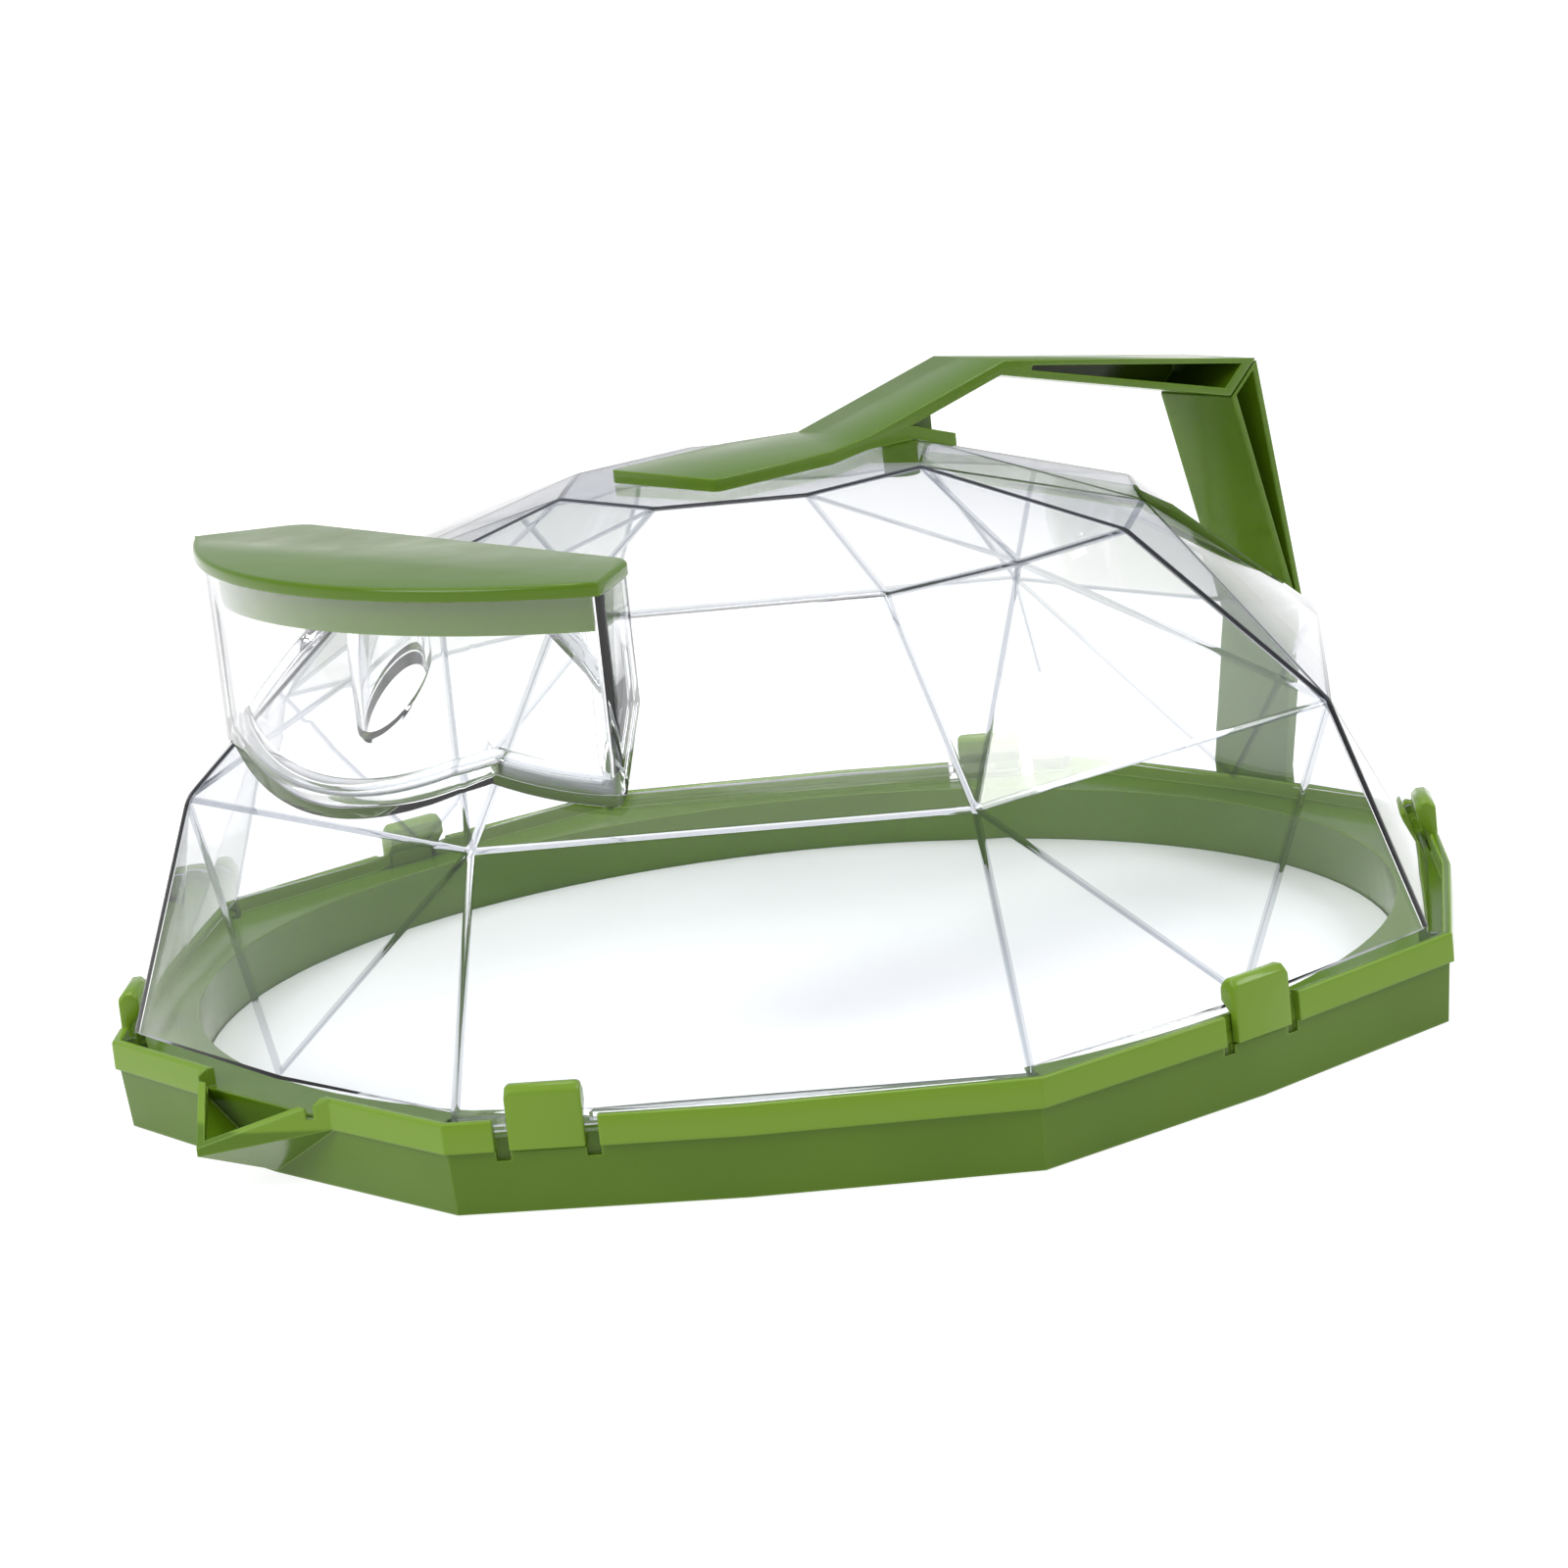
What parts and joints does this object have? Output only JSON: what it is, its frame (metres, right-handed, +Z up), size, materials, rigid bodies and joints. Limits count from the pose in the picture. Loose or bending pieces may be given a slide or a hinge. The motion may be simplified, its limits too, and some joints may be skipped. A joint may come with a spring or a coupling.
{
  "type": "tabletop sandbox with cover",
  "caption": "Octagonal play tray with a round well and pouring spout, under a clear faceted dome with a lidded side cup, a drop tube and a folded carry handle.",
  "frame": {"origin": "on the table, under the middle of the octagonal tray", "axes": "+Z up; +X towards the handle's foot; the spout and the side cup are on the -X side"},
  "size_m": [0.335, 0.3058, 0.1403],
  "materials": {
    "green_plastic": "gloss",
    "white_sheet": "satin",
    "clear_plastic": "clear gloss"
  },
  "bodies": {
    "tray": {"tray_body": "green_plastic", "tray_floor": "white_sheet"},
    "cover": {"dome_cover": "clear_plastic", "cup_wall": "clear_plastic", "drop_tube": "clear_plastic", "handle_bar": "green_plastic"},
    "lid": {"cup_lid": "green_plastic"},
    "leg": {"handle_leg": "green_plastic"},
    "clip_1": {"snap_clip_1": "green_plastic"},
    "clip_2": {"snap_clip_2": "green_plastic"},
    "clip_3": {"snap_clip_3": "green_plastic"},
    "clip_4": {"snap_clip_4": "green_plastic"},
    "clip_5": {"snap_clip_5": "green_plastic"},
    "clip_6": {"snap_clip_6": "green_plastic"}
  },
  "joints": [
    {"name": "cover_lift", "type": "slide", "parent": "tray", "child": "cover", "axis": [0, 0, 1], "range_m": [0, 0.06]},
    {"name": "lid_lift", "type": "slide", "parent": "cover", "child": "lid", "axis": [0, 0, 1], "range_m": [0, 0.03]},
    {"name": "leg_swing", "type": "hinge", "parent": "cover", "child": "leg", "pos_m": [0.1547, 0, 0.1264], "axis": [0, -1, 0], "range_deg": [0, 25]},
    {"name": "clip_flex_1", "type": "hinge", "parent": "tray", "child": "clip_1", "pos_m": [0.1354, 0.07818, 0.0138], "axis": [-0.6734, 0.7393, 0], "range_deg": [0, 8], "stiffness_Nm_per_rad": 0.05},
    {"name": "clip_flex_2", "type": "hinge", "parent": "tray", "child": "clip_2", "pos_m": [0, 0.1529, 0.0138], "axis": [-1, 0, 0], "range_deg": [0, 8], "stiffness_Nm_per_rad": 0.05},
    {"name": "clip_flex_3", "type": "hinge", "parent": "tray", "child": "clip_3", "pos_m": [-0.1354, 0.07818, 0.0138], "axis": [-0.6734, -0.7393, 0], "range_deg": [0, 8], "stiffness_Nm_per_rad": 0.05},
    {"name": "clip_flex_4", "type": "hinge", "parent": "tray", "child": "clip_4", "pos_m": [-0.1354, -0.07818, 0.0138], "axis": [0.6734, -0.7393, 0], "range_deg": [0, 8], "stiffness_Nm_per_rad": 0.05},
    {"name": "clip_flex_5", "type": "hinge", "parent": "tray", "child": "clip_5", "pos_m": [0, -0.1529, 0.0138], "axis": [1, 0, 0], "range_deg": [0, 8], "stiffness_Nm_per_rad": 0.05},
    {"name": "clip_flex_6", "type": "hinge", "parent": "tray", "child": "clip_6", "pos_m": [0.1354, -0.07818, 0.0138], "axis": [0.6734, 0.7393, 0], "range_deg": [0, 8], "stiffness_Nm_per_rad": 0.05}
  ]
}
